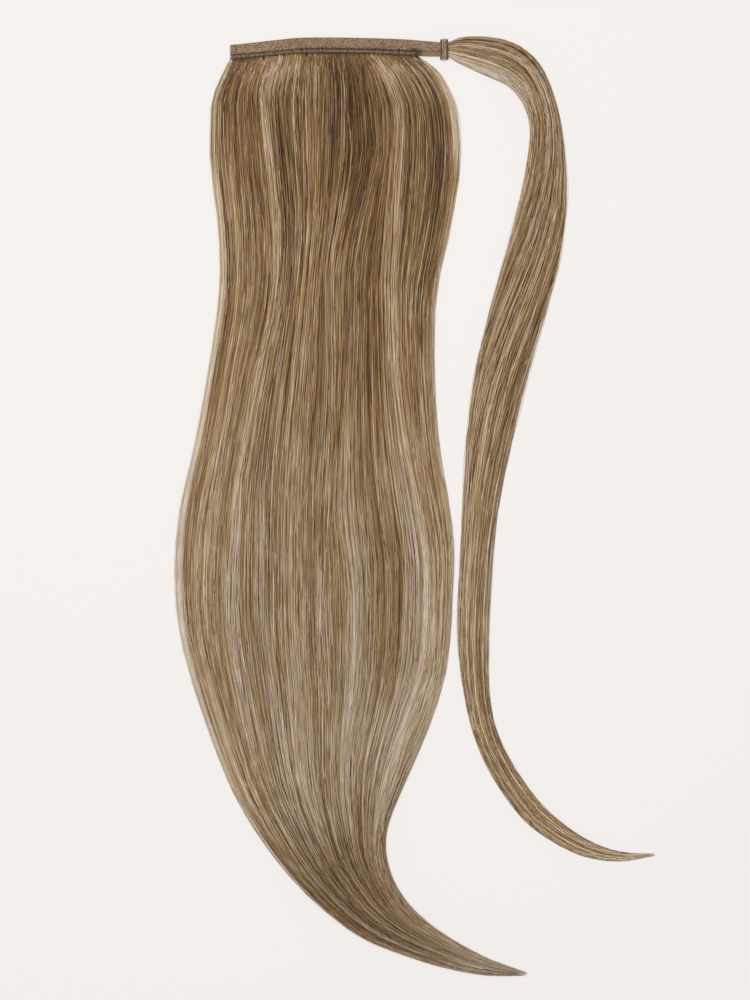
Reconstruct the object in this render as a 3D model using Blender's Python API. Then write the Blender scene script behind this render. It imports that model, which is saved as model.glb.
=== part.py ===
"""Wrap-around ponytail hairpiece, lying as it is laid out on a table.

Metres, +Z up. The origin is the middle of the fastening band's underside. X runs along the band,
the hair falls towards -Y, and everything rests on z = 0.
"""
import math
from collections import namedtuple

import bmesh
import bpy
from mathutils import Vector

# Driving dimensions of the loose hair
HAIR_LENGTH = 0.600        # weft to tip, along the middle lock
PANEL_WIDTH = 0.161        # across the belly, where the hair spreads widest
PANEL_THICKNESS = 0.0140   # depth of the pile of hair where the tail gathers

# Driving dimensions of the strand that is wrapped round the ponytail
WRAP_LENGTH = 0.566        # binding to tip, along its middle
WRAP_WIDTH = 0.0317        # at its widest, below the arch
WRAP_THICKNESS = 0.0080
STRAND_GAP = 0.0025        # least room between the strand and the loose hair

# Driving dimensions of the band and what is sewn to it
BAND_LENGTH = 0.1238       # left hem to the middle of the binding
BAND_WIDTH = 0.0092
BAND_SAG = 0.0040          # how far the left end drops below the middle
WEAVE = 0.0010             # woven ground of the loop tape
PILE = 0.0009              # loops that stand on the ground
LOWER_SELVEDGE = 0.0026    # bare edge that the weft is sewn along
UPPER_SELVEDGE = 0.0005
PILE_SLOPE = 0.0004        # the pile's sides lean in by this much
HEM_LENGTH = 0.0034        # end turned over and stitched down
HEM_STEP = 0.0006          # run over which the turned layer ends
TAIL_LENGTH = 0.0153       # band beyond the weft, up to the middle of the binding
WEFT_HEIGHT = 0.0013
WEFT_END = 0.0004          # the weft starts this far inside the hem's edge
BINDING_LENGTH = 0.0040
THREAD = 0.0012            # thickness of the wound thread
BINDING_SLACK = 0.0006     # room between the thread and what it ties

FIT_GAP = 0.0003           # clearance between pieces that touch
HAIR_EDGE = 0.0008         # thickness of the hair at its thin outer edges
LOCK_RELIEF = 0.17         # depth of the furrows, as a share of the local thickness
TAPERED_SIDE = 0.985       # the underside is this share of the width
PANEL_RELEASE = 0.060      # share of the hair's length over which the weft lets it go
STRAND_RELEASE = 0.016     # the same for the strand and its binding
ARCH_SHARE = 0.15          # share of the strand's length that its arch takes

BAND_STATIONS = 44
SECTIONS_PER_ROW = 2
STRAND_PUSH_REACH = 7      # sections over which the strand eases round the loose hair
POINTS_PER_LOCK = 4
BINDING_SIDES = 24

# The band from its left end to the middle of the binding.
# along: share of BAND_LENGTH. drop: share of BAND_SAG. width: share of BAND_WIDTH.
BandRow = namedtuple("BandRow", "along drop width")
BAND = (
    BandRow(0.00, 1.00, 0.90),
    BandRow(0.11, 0.66, 0.94),
    BandRow(0.22, 0.32, 0.98),
    BandRow(0.32, 0.04, 1.00),
    BandRow(0.50, 0.00, 1.00),
    BandRow(0.69, 0.12, 1.00),
    BandRow(0.83, 0.30, 1.00),
    BandRow(0.92, 0.50, 0.95),
    BandRow(0.98, 0.64, 0.88),
    BandRow(1.00, 0.66, 0.87),
)

# The loose hair, a row for each section from the weft to the tip.
# drop, sway: the middle lock's place down and across, as shares of HAIR_LENGTH.
# spread: share of PANEL_WIDTH. lean: degrees that the section is turned.
# loft: share of PANEL_THICKNESS.
PanelRow = namedtuple("PanelRow", "drop sway spread lean loft")
PANEL = (
    PanelRow(0.000, 0.000, 0.870, 0, 0.40),
    PanelRow(0.015, 0.006, 0.870, 0, 0.41),
    PanelRow(0.034, 0.008, 0.872, 0, 0.46),
    PanelRow(0.063, 0.010, 0.887, 0, 0.54),
    PanelRow(0.105, 0.011, 0.894, 0, 0.62),
    PanelRow(0.169, 0.010, 0.829, 0, 0.69),
    PanelRow(0.228, 0.004, 0.775, -1, 0.74),
    PanelRow(0.300, -0.002, 0.804, -1, 0.78),
    PanelRow(0.380, -0.007, 0.879, 0, 0.82),
    PanelRow(0.431, -0.009, 0.957, 1, 0.86),
    PanelRow(0.481, -0.009, 1.000, 2, 0.90),
    PanelRow(0.530, -0.009, 0.990, 3, 0.94),
    PanelRow(0.569, -0.006, 0.957, 5, 0.97),
    PanelRow(0.613, -0.001, 0.890, 8, 1.00),
    PanelRow(0.654, 0.001, 0.795, 10, 1.00),
    PanelRow(0.698, 0.003, 0.667, 14, 1.00),
    PanelRow(0.737, 0.007, 0.521, 19, 0.99),
    PanelRow(0.772, 0.015, 0.385, 28, 0.95),
    PanelRow(0.802, 0.031, 0.290, 41, 0.87),
    PanelRow(0.830, 0.054, 0.215, 53, 0.75),
    PanelRow(0.851, 0.085, 0.152, 66, 0.60),
    PanelRow(0.868, 0.120, 0.108, 78, 0.44),
    PanelRow(0.881, 0.158, 0.062, 84, 0.28),
    PanelRow(0.888, 0.197, 0.010, 88, 0.12),
)

# The wrap strand, a row for each section from the binding to the tip.
# across, drop: place as shares of WRAP_LENGTH. width: share of WRAP_WIDTH.
# loft: share of WRAP_THICKNESS.
StrandRow = namedtuple("StrandRow", "across drop width loft")
STRAND = (
    StrandRow(0.000, 0.000, 0.36, 0.55),
    StrandRow(0.004, 0.000, 0.42, 0.60),
    StrandRow(0.018, 0.001, 0.53, 0.68),
    StrandRow(0.037, 0.005, 0.67, 0.80),
    StrandRow(0.059, 0.012, 0.74, 0.90),
    StrandRow(0.077, 0.024, 0.68, 0.98),
    StrandRow(0.090, 0.044, 0.58, 1.00),
    StrandRow(0.098, 0.067, 0.54, 1.00),
    StrandRow(0.101, 0.094, 0.60, 0.97),
    StrandRow(0.099, 0.145, 0.80, 0.88),
    StrandRow(0.093, 0.181, 0.91, 0.82),
    StrandRow(0.086, 0.214, 1.00, 0.78),
    StrandRow(0.077, 0.247, 1.00, 0.76),
    StrandRow(0.055, 0.329, 0.95, 0.76),
    StrandRow(0.040, 0.411, 0.79, 0.78),
    StrandRow(0.035, 0.451, 0.67, 0.80),
    StrandRow(0.031, 0.491, 0.60, 0.80),
    StrandRow(0.026, 0.573, 0.58, 0.78),
    StrandRow(0.026, 0.614, 0.54, 0.74),
    StrandRow(0.029, 0.655, 0.45, 0.70),
    StrandRow(0.037, 0.696, 0.41, 0.66),
    StrandRow(0.055, 0.736, 0.42, 0.60),
    StrandRow(0.084, 0.777, 0.43, 0.52),
    StrandRow(0.107, 0.797, 0.39, 0.44),
    StrandRow(0.139, 0.816, 0.31, 0.34),
    StrandRow(0.174, 0.825, 0.18, 0.24),
    StrandRow(0.213, 0.823, 0.03, 0.14),
)

# The locks side by side. width: relative width. rise: how deep the furrow beside the lock is.
# drift: how far the furrow wanders along the hair, as a share of the lock's width.
Lock = namedtuple("Lock", "width rise drift")
PANEL_LOCKS = (
    Lock(0.8, 0.7, 0.0),
    Lock(1.0, 1.0, 0.3),
    Lock(1.3, 0.8, -0.4),
    Lock(0.9, 1.0, 0.4),
    Lock(1.1, 0.6, -0.3),
    Lock(1.4, 0.9, 0.2),
    Lock(0.9, 0.8, -0.5),
    Lock(1.2, 0.6, 0.3),
    Lock(1.0, 0.9, 0.4),
    Lock(1.4, 0.7, -0.3),
    Lock(0.9, 1.0, -0.4),
    Lock(1.1, 0.8, 0.3),
    Lock(1.0, 1.0, -0.3),
    Lock(0.8, 0.7, 0.2),
)
STRAND_LOCKS = (
    Lock(0.9, 0.8, 0.0),
    Lock(1.2, 1.0, 0.4),
    Lock(1.0, 0.7, -0.4),
    Lock(1.3, 1.0, 0.3),
    Lock(0.9, 0.8, -0.2),
)

# Thickness of the binding from left to right, as shares of THREAD: a thread turn at each end
# and slack loops between them.
BINDING_PROFILE = (0.60, 1.00, 0.90, 0.55, 0.50, 0.55, 0.90, 1.00, 0.60)

# Cross-section of the weft track, as shares of its width and height
WEFT_PROFILE = ((0, 0), (0.02, 0.6), (0.25, 0.95), (0.55, 1.0), (0.9, 0.7), (1.0, 0))

# Places that follow from the sizes
BAND_LEFT = -BAND_LENGTH / 2
BAND_RIGHT = BAND_LENGTH / 2
WEFT_LENGTH = BAND_LENGTH - TAIL_LENGTH
WEFT_MIDDLE = BAND_LEFT + WEFT_LENGTH / 2
WEFT_TOP = WEAVE + FIT_GAP + WEFT_HEIGHT
BINDING_LEFT = BAND_RIGHT - BINDING_LENGTH / 2
BINDING_RIGHT = BAND_RIGHT + BINDING_LENGTH / 2
BORE_WIDTH = BAND_WIDTH * BAND[-1].width + 2 * BINDING_SLACK
BORE_HEIGHT = WEAVE + PILE + 2 * BINDING_SLACK
BINDING_AXIS_Z = THREAD + BORE_HEIGHT / 2
TAIL_FLOOR = THREAD + BINDING_SLACK


def clear_scene():
    for thing in list(bpy.data.objects):
        bpy.data.objects.remove(thing)


def make_material(name, colour, roughness):
    material = bpy.data.materials.new(name)
    material.use_nodes = True
    shader = material.node_tree.nodes["Principled BSDF"]
    shader.inputs["Base Color"].default_value = (*colour, 1.0)
    shader.inputs["Roughness"].default_value = roughness
    shader.inputs["Metallic"].default_value = 0.0
    return material


def distances(points):
    """Distance of each point along the line through them."""
    run = [0.0]
    for a, b in zip(points, points[1:]):
        run.append(run[-1] + math.dist(a, b))
    return run


def row_at(rows, keys, key):
    """The table's row at a key, on a smooth curve through its rows."""
    last = len(rows) - 1
    i = next((j for j in range(last) if key <= keys[j + 1]), last - 1)
    span = keys[i + 1] - keys[i]
    t = (key - keys[i]) / span

    def slope(j, column):
        low, high = max(j - 1, 0), min(j + 1, last)
        return (rows[high][column] - rows[low][column]) / (keys[high] - keys[low])

    values = []
    for column in range(len(rows[0])):
        a, b = rows[i][column], rows[i + 1][column]
        values.append(
            (2 * t**3 - 3 * t**2 + 1) * a
            + (t**3 - 2 * t**2 + t) * span * slope(i, column)
            + (3 * t**2 - 2 * t**3) * b
            + (t**3 - t**2) * span * slope(i + 1, column)
        )
    return type(rows[0])(*values)


def finer_rows(rows, keys):
    """The table with extra rows between its own, and each row's share of the whole length."""
    out = []
    for low, high in zip(keys, keys[1:]):
        for step in range(SECTIONS_PER_ROW):
            key = low + (high - low) * step / SECTIONS_PER_ROW
            out.append((row_at(rows, keys, key), key / keys[-1]))
    out.append((rows[-1], 1.0))
    return out


def mix(held, loose, free):
    return held * (1 - free) + loose * free


def freedom(along, release):
    """0 where the hair is still held at its root, rising to 1 where it lies free."""
    return 1 - (1 - min(along / release, 1.0)) ** 2


def loft(name, rings, material, collection, smooth_angle=40, closed=False):
    """A closed body through rings of points. An open run of rings gets a flat cap at each end."""
    mesh = bpy.data.meshes.new(name)
    work = bmesh.new()
    verts = [[work.verts.new(point) for point in ring] for ring in rings]
    pairs = list(zip(verts, verts[1:]))
    if closed:
        pairs.append((verts[-1], verts[0]))
    for low, high in pairs:
        for j in range(len(low)):
            k = (j + 1) % len(low)
            work.faces.new((low[j], low[k], high[k], high[j]))
    if not closed:
        work.faces.new(verts[0])
        work.faces.new(verts[-1])
    bmesh.ops.recalc_face_normals(work, faces=work.faces)
    bmesh.ops.triangulate(work, faces=work.faces)
    work.to_mesh(mesh)
    work.free()
    mesh.shade_smooth()
    mesh.set_sharp_from_angle(angle=math.radians(smooth_angle))
    mesh.materials.append(material)
    body = bpy.data.objects.new(name, mesh)
    collection.objects.link(body)
    return body


def band_row(x):
    keys = [row.along for row in BAND]
    return row_at(BAND, keys, (x - BAND_LEFT) / BAND_LENGTH)


def band_middle(x):
    return -BAND_SAG * band_row(x).drop


def band_edge(x):
    """Y of the band's lower edge."""
    return band_middle(x) - BAND_WIDTH * band_row(x).width / 2


def hem_rise(x):
    """Height that the turned-over hem adds."""
    run = (x - BAND_LEFT - HEM_LENGTH) / HEM_STEP
    return WEAVE * (1 - min(max(run, 0.0), 1.0))


def tail_lift(x):
    """Height of the tail's underside, which climbs over the thread under it."""
    start = BAND_RIGHT - TAIL_LENGTH
    t = min(max((x - start) / (BINDING_LEFT - start), 0.0), 1.0)
    return TAIL_FLOOR * t * t * (3 - 2 * t)


def band_stations():
    """X of the band's sections, with extra ones where the hem's layer ends."""
    run = [BAND_LEFT, BAND_LEFT + HEM_LENGTH, BAND_LEFT + HEM_LENGTH + HEM_STEP]
    end = BAND_RIGHT - FIT_GAP / 2
    for i in range(1, BAND_STATIONS + 1):
        run.append(run[2] + (end - run[2]) * i / BAND_STATIONS)
    return run


def build_loop_band(collection, material):
    """Loop tape: flat ground, pile set in from both selvedges, hem at the left, lifted tail."""
    rings = []
    for x in band_stations():
        low, top = band_edge(x), 2 * band_middle(x) - band_edge(x)
        base = tail_lift(x)
        ground = base + WEAVE + hem_rise(x)
        pile = ground + PILE
        rings.append([
            Vector((x, low, base)),
            Vector((x, low, ground)),
            Vector((x, low + LOWER_SELVEDGE, ground)),
            Vector((x, low + LOWER_SELVEDGE + PILE_SLOPE, pile)),
            Vector((x, top - UPPER_SELVEDGE - PILE_SLOPE, pile)),
            Vector((x, top - UPPER_SELVEDGE, ground)),
            Vector((x, top, ground)),
            Vector((x, top, base)),
        ])
    return loft("loop_band", rings, material, collection)


def build_weft_track(collection, material):
    """Thread track on the lower selvedge, plumpest right of the middle where two wefts overlap."""
    start, end = BAND_LEFT + WEFT_END, BAND_LEFT + WEFT_LENGTH
    width = LOWER_SELVEDGE - FIT_GAP
    rings = []
    for x in [start] + [x for x in band_stations() if start < x < end] + [end]:
        share = (x - start) / (end - start)
        plump = 0.75 + 0.25 * math.sin(math.pi * share**2) ** 2
        low = band_edge(x)
        base = WEAVE + hem_rise(x) + tail_lift(x) + FIT_GAP
        rings.append([
            Vector((x, low + width * y, base + WEFT_HEIGHT * plump * z))
            for y, z in WEFT_PROFILE
        ])
    return loft("weft_track", rings, material, collection)


def furrows(locks, along):
    """Where the locks meet, from -1 at the left edge to 1 at the right one."""
    total = sum(lock.width for lock in locks)
    marks, run = [-1.0], 0.0
    for lock in locks[:-1]:
        run += lock.width
        wander = lock.drift * lock.width * math.sin(2 * math.pi * along)
        marks.append(2 * (run + wander) / total - 1)
    return marks + [1.0]


def hair_ring(place, locks, along, floor, thickness, relief):
    """One section of hair: a low dome of locks on a flat underside.

    place(u) gives X and Y at u, from -1 at the left edge to 1 at the right one.
    """
    marks = furrows(locks, along)
    ring = []
    for i, lock in enumerate(locks):
        for j in range(POINTS_PER_LOCK):
            v = j / POINTS_PER_LOCK
            u = mix(marks[i], marks[i + 1], v)
            depth = mix(locks[max(i - 1, 0)].rise, lock.rise, v) * (1 - math.sin(math.pi * v))
            dome = (1 - abs(u) ** 2.4) ** 0.6
            z = HAIR_EDGE + (thickness - HAIR_EDGE) * dome * (1 - relief * depth)
            ring.append(Vector((*place(u), floor + z)))
    ring.append(Vector((*place(1.0), floor + HAIR_EDGE)))
    for mark in reversed(marks):
        ring.append(Vector((*place(mark * TAPERED_SIDE), floor)))
    return ring


def panel_sections():
    """Middle, half width, turn, thickness and freedom of each section of the loose hair."""
    Section = namedtuple("Section", "x y half lean thickness free along")
    keys = distances([(row.sway, row.drop) for row in PANEL])
    root_y = band_edge(WEFT_MIDDLE) - FIT_GAP
    sections = []
    for row, along in finer_rows(PANEL, keys):
        free = freedom(along, PANEL_RELEASE)
        sections.append(Section(
            WEFT_MIDDLE + HAIR_LENGTH * row.sway,
            root_y - HAIR_LENGTH * row.drop,
            mix(WEFT_LENGTH, PANEL_WIDTH * row.spread, free) / 2,
            math.radians(row.lean),
            mix(WEFT_TOP, PANEL_THICKNESS * row.loft, free),
            free,
            along,
        ))
    return sections


def panel_place(section):
    """X and Y across a section. Near the weft the section follows the band's lower edge."""
    def place(u):
        x = section.x + section.half * u * math.cos(section.lean)
        y = section.y + section.half * u * math.sin(section.lean)
        held = WEFT_MIDDLE + u * WEFT_LENGTH / 2
        return x, y + (band_edge(held) - band_edge(WEFT_MIDDLE)) * (1 - section.free)

    return place


def build_hair_panel(collection, material, sections):
    rings = [
        hair_ring(panel_place(s), PANEL_LOCKS, s.along, 0.0, s.thickness, LOCK_RELIEF * s.free)
        for s in sections
    ]
    return loft("hair_panel", rings, material, collection)


def strand_sections(panel):
    """The wrap strand's sections, eased to the right wherever the loose hair would be in its way."""
    Section = namedtuple("Section", "x y half heading floor thickness free along")
    keys = distances([(row.across, row.drop) for row in STRAND])
    rows = finer_rows(STRAND, keys)
    start_x, start_y = BINDING_RIGHT + FIT_GAP, band_middle(BAND_RIGHT)
    middles = [
        Vector((start_x + WRAP_LENGTH * row.across, start_y - WRAP_LENGTH * row.drop))
        for row, _ in rows
    ]
    headings = [
        (middles[min(i + 1, len(rows) - 1)] - middles[max(i - 1, 0)]).normalized()
        for i in range(len(rows))
    ]
    headings[0] = Vector((1.0, 0.0))
    root_half = BORE_WIDTH / 2 - BINDING_SLACK
    freedoms = [freedom(along, STRAND_RELEASE) for _, along in rows]
    halves = [
        mix(root_half, WRAP_WIDTH * row.width / 2, free)
        for (row, _), free in zip(rows, freedoms)
    ]

    edges = [place(1.0) for place in map(panel_place, panel)]
    reach = WRAP_LENGTH / len(rows)
    short = []
    for middle, heading, half in zip(middles, headings, halves):
        inner = middle + Vector((heading.y, -heading.x)) * half
        near = [x for x, y in edges if abs(y - inner.y) < reach]
        below_arch = heading.y < -abs(heading.x)
        lack = max(near) + STRAND_GAP - inner.x if near and below_arch else 0.0
        short.append(max(lack, 0.0))

    sections = []
    for i, (row, along) in enumerate(rows):
        push = max(
            lack * math.cos(math.pi / 2 * min(abs(i - j) / STRAND_PUSH_REACH, 1.0)) ** 2
            for j, lack in enumerate(short)
        )
        sections.append(Section(
            middles[i].x + push * min(along / ARCH_SHARE, 1.0),
            middles[i].y,
            halves[i],
            headings[i],
            mix(TAIL_FLOOR, 0.0, freedoms[i]),
            mix(WEAVE + PILE, WRAP_THICKNESS * row.loft, freedoms[i]),
            freedoms[i],
            along,
        ))
    neck = sections[0]._replace(x=BAND_RIGHT + FIT_GAP / 2)
    return [neck] + sections


def strand_place(section):
    """X and Y across a section, from the outer side of the arch to its inner side."""
    def place(u):
        return (
            section.x + section.heading.y * section.half * u,
            section.y - section.heading.x * section.half * u,
        )

    return place


def build_wrap_strand(collection, material, sections):
    rings = [
        hair_ring(
            strand_place(s), STRAND_LOCKS, s.along, s.floor, s.thickness, LOCK_RELIEF * s.free
        )
        for s in sections
    ]
    return loft("wrap_strand", rings, material, collection)


def oval(half_width, half_height, power):
    """Points of a rounded oval in the plane across the band."""
    points = []
    for i in range(BINDING_SIDES):
        turn = 2 * math.pi * i / BINDING_SIDES
        c, s = math.cos(turn), math.sin(turn)
        points.append((
            half_width * math.copysign(abs(c) ** (2 / power), c),
            half_height * math.copysign(abs(s) ** (2 / power), s),
        ))
    return points


def build_thread_binding(collection, material):
    """Sleeve of wound thread round the tail's end and the strand's root."""
    middle_y = band_middle(BAND_RIGHT)

    def ring(x, wall):
        return [
            Vector((x, middle_y + y, BINDING_AXIS_Z + z))
            for y, z in oval(BORE_WIDTH / 2 + wall, BORE_HEIGHT / 2 + wall, 3.2)
        ]

    last = len(BINDING_PROFILE) - 1
    rings = [
        ring(mix(BINDING_LEFT, BINDING_RIGHT, i / last), THREAD * share)
        for i, share in enumerate(BINDING_PROFILE)
    ]
    rings.append(ring(BINDING_RIGHT, 0.0))
    rings.append(ring(BINDING_LEFT, 0.0))
    return loft("thread_binding", rings, material, collection, closed=True)


def main():
    clear_scene()
    collection = bpy.data.collections.new("ponytail_hairpiece")
    bpy.context.scene.collection.children.link(collection)
    holder = bpy.data.objects.new("hairpiece_origin", None)
    collection.objects.link(holder)

    hair = make_material("brown_blond_hair", (0.270, 0.190, 0.115), 0.45)
    tape = make_material("tan_loop_tape", (0.290, 0.195, 0.120), 0.95)
    track = make_material("dark_weft_thread", (0.075, 0.058, 0.042), 0.85)
    thread = make_material("dark_binding_thread", (0.060, 0.048, 0.038), 0.80)

    panel = panel_sections()
    bodies = (
        build_loop_band(collection, tape),
        build_weft_track(collection, track),
        build_hair_panel(collection, hair, panel),
        build_thread_binding(collection, thread),
        build_wrap_strand(collection, hair, strand_sections(panel)),
    )
    for body in bodies:
        body.parent = holder


main()
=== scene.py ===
# %% [markdown]
# # A wrap-around ponytail hairpiece
# The hairpiece lies flat: a short band of loop tape at the top, a wide fall of straight hair sewn to
# the band's lower edge, and a thin strand, bound to the band's right end, that is wound round the
# base of a ponytail when the piece is worn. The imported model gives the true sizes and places. This
# lesson dresses it: thousands of fine strands over two bodies of hair, loops on the tape, stitches on
# the weft and thread round the strand's root. Everything is in metres, with +Z up.

# %% Load the fixed frame
import math

import bpy
import numpy as np
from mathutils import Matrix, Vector


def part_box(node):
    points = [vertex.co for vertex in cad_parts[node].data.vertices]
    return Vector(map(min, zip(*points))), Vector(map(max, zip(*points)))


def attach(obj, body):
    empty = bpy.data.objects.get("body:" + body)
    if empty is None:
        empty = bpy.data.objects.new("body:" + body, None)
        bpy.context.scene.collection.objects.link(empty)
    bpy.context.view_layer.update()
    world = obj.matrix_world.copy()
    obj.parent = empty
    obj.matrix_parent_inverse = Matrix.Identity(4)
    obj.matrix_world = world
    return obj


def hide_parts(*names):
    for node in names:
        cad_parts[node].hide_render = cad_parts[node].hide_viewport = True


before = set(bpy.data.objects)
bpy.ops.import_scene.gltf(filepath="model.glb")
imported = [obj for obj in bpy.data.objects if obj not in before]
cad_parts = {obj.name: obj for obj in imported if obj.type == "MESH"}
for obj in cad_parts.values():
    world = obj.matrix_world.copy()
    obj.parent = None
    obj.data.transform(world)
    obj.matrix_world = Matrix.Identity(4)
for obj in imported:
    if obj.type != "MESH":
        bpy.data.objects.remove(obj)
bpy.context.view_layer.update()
bpy.ops.object.select_all(action="DESELECT")
print("the fixed frame holds", sorted(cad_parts))

# %% [markdown]
# The photograph looks straight down on the hairpiece, so the camera hangs over it with a long lens,
# which keeps the thick hair's sides from showing. One pixel of the picture is 0.577 mm at the height
# of the hair, and that sets how high the camera hangs.

# %% The camera
PIXEL = 0.000577
PICTURE_ROWS = 1000
VIEW_HEIGHT = PICTURE_ROWS * PIXEL
VIEW_CENTRE = (0.0218, -0.2631)
HAIR_LEVEL = 0.006
LENS = 100
SENSOR = 36

camera_data = bpy.data.cameras.new("camera")
camera_data.lens = LENS
camera_data.sensor_width = SENSOR
camera_data.clip_end = 20
camera = bpy.data.objects.new("camera", camera_data)
camera.location = (*VIEW_CENTRE, HAIR_LEVEL + VIEW_HEIGHT * LENS / SENSOR)
bpy.context.scene.collection.objects.link(camera)
bpy.context.scene.camera = camera
print("the camera hangs", round(camera.location.z, 3), "m above the floor")

# %% [markdown]
# Shader maths reads best as plain sums. A small class wraps an output socket, and each operator on it
# adds the Math node that works the sum out. Every other node comes from one function, which sets the
# node's own settings first and then its sockets. Colours are given as they look on a screen, from 0
# to 255, and are turned into the linear values that shaders use.

# %% Helpers for materials
class Wire:
    """An output socket that can stand in a sum."""

    def __init__(self, tree, socket):
        self.tree = tree
        self.socket = socket

    def math(self, operation, a, b):
        return add_node(self.tree, "ShaderNodeMath", {"operation": operation}, {0: a, 1: b})

    def __add__(self, other):
        return self.math("ADD", self, other)

    def __radd__(self, other):
        return self.math("ADD", other, self)

    def __sub__(self, other):
        return self.math("SUBTRACT", self, other)

    def __rsub__(self, other):
        return self.math("SUBTRACT", other, self)

    def __mul__(self, other):
        return self.math("MULTIPLY", self, other)

    def __rmul__(self, other):
        return self.math("MULTIPLY", other, self)


def add_node(tree, kind, settings, sockets, output=0):
    """A new node. Stops, where given, are a colour ramp's places and colours."""
    node = tree.nodes.new(kind)
    for name, value in settings.items():
        if name == "stops":
            ramp = node.color_ramp
            while len(ramp.elements) < len(value):
                ramp.elements.new(1.0)
            for element, (place, colour) in zip(ramp.elements, value):
                element.position = place
                element.color = colour
        else:
            setattr(node, name, value)
    for key, value in sockets.items():
        if isinstance(value, Wire):
            tree.links.new(value.socket, node.inputs[key])
        else:
            node.inputs[key].default_value = value
    return Wire(tree, node.outputs[output])


def screen(red, green, blue):
    """A screen colour, 0 to 255, as linear values with an alpha of 1."""
    def linear(value):
        value = value / 255
        return value / 12.92 if value <= 0.04045 else ((value + 0.055) / 1.055) ** 2.4

    return linear(red), linear(green), linear(blue), 1.0


def new_material(name, roughness, specular):
    """A material with one Principled shader, and the inputs of that shader."""
    material = bpy.data.materials.new(name)
    material.use_nodes = True
    shader = material.node_tree.nodes["Principled BSDF"]
    shader.inputs["Roughness"].default_value = roughness
    shader.inputs["Specular IOR Level"].default_value = specular
    return material, material.node_tree, shader


def mix_colours(tree, factor, a, b, blend="MIX"):
    settings = {"data_type": "RGBA", "blend_type": blend}
    return add_node(tree, "ShaderNodeMix", settings, {0: factor, 6: a, 7: b}, output=2)


def feed(tree, shader, **inputs):
    for name, wire in inputs.items():
        tree.links.new(wire.socket, shader.inputs[name.replace("_", " ")])


def own_value(tree, name):
    """A number that the piece itself keeps at each of its points."""
    return add_node(tree, "ShaderNodeAttribute", {"attribute_name": name}, {}, output="Fac")


def add_noise(tree, vector, scale, detail):
    sockets = {"Vector": vector, "Scale": scale, "Detail": detail}
    return add_node(tree, "ShaderNodeTexNoise", {}, sockets)


def noise_lines(tree, uv, across, along, detail):
    """Noise drawn out along the hair: so many lines across the UV map, so many runs along it."""
    sockets = {"Vector": uv, "Scale": (across, along, 1.0)}
    return add_noise(tree, add_node(tree, "ShaderNodeMapping", {}, sockets), 1.0, detail)


def dress_node(name, material):
    """A solid of the frame that stays, with a better material."""
    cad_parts[name].data.materials.clear()
    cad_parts[name].data.materials.append(material)


def add_bump(tree, shader, height, strength, depth):
    bump = add_node(
        tree, "ShaderNodeBump", {}, {"Strength": strength, "Distance": depth, "Height": height}
    )
    tree.links.new(bump.socket, shader.inputs["Normal"])


# %% [markdown]
# The floor is a plain pale sheet, far larger than the view. The photograph's ground is an even warm
# white with hardly any shadow, so the sheet is paint at 30 % of that colour and, for the rest, a
# glow of its own. One wide lamp nearly overhead and an even pale sky light the hair softly from all sides.

# %% Floor and light
FLOOR_COLOUR = screen(244, 240, 237)
FLOOR_PAINT = 0.30
FLOOR_GLOW = 0.61
SKY_STRENGTH = 0.45
LAMP_POWER = 33
LAMP_SIZE = 1.2

bpy.ops.mesh.primitive_plane_add(size=8, location=(0, -0.25, 0))
floor = bpy.context.object
floor.name = "floor"
bpy.ops.object.transform_apply(location=True, rotation=False, scale=True)
floor_material, tree, shader = new_material("pale_floor", 0.9, 0.1)
shader.inputs["Base Color"].default_value = (*(FLOOR_PAINT * part for part in FLOOR_COLOUR[:3]), 1.0)
shader.inputs["Emission Color"].default_value = FLOOR_COLOUR
shader.inputs["Emission Strength"].default_value = FLOOR_GLOW
floor.data.materials.append(floor_material)

lamp_data = bpy.data.lights.new("lamp", "AREA")
lamp_data.shape = "SQUARE"
lamp_data.size = LAMP_SIZE
lamp_data.energy = LAMP_POWER
lamp = bpy.data.objects.new("lamp", lamp_data)
lamp.location = (-0.15, 0.00, 1.80)
lamp.rotation_euler = (Vector((0.02, -0.25, 0)) - lamp.location).to_track_quat("-Z", "Y").to_euler()
bpy.context.scene.collection.objects.link(lamp)

sky = bpy.data.worlds.new("pale_sky")
sky.use_nodes = True
background = sky.node_tree.nodes["Background"]
background.inputs["Color"].default_value = (1.0, 0.985, 0.97, 1.0)
background.inputs["Strength"].default_value = SKY_STRENGTH
bpy.context.scene.world = sky
bpy.context.scene.view_settings.view_transform = "Standard"
print("floor glow", FLOOR_GLOW, "sky", SKY_STRENGTH, "lamp", LAMP_POWER, "W")

# %% [markdown]
# Hair needs a flow before it has any strands: a rule that turns a place in the hair, so far across
# and so far along, into a point in space. The flow follows the same tables as the solids, so strands
# lie exactly where the solids are. Each table is read on a smooth curve through its rows.

# %% Reading a table on a smooth curve
def distances(points):
    steps = np.hypot(*np.diff(np.asarray(points, float), axis=0).T)
    return np.concatenate([[0.0], np.cumsum(steps)])


def read_table(rows, keys, at):
    """The table's columns at each key in at, on a smooth curve through its rows."""
    rows, keys, at = np.asarray(rows, float), np.asarray(keys, float), np.asarray(at, float)
    last = len(keys) - 1
    low = np.maximum(np.arange(last + 1) - 1, 0)
    high = np.minimum(np.arange(last + 1) + 1, last)
    slope = (rows[high] - rows[low]) / (keys[high] - keys[low])[:, None]
    i = np.clip(np.searchsorted(keys, at, side="right") - 1, 0, last - 1)
    span = (keys[i + 1] - keys[i])[..., None]
    t = np.clip((at - keys[i])[..., None] / span, 0, 1)
    return (
        (2 * t**3 - 3 * t**2 + 1) * rows[i]
        + (t**3 - 2 * t**2 + t) * span * slope[i]
        + (3 * t**2 - 2 * t**3) * rows[i + 1]
        + (t**3 - t**2) * span * slope[i + 1]
    )


def mix(a, b, share):
    return a * (1 - share) + b * share


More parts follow.
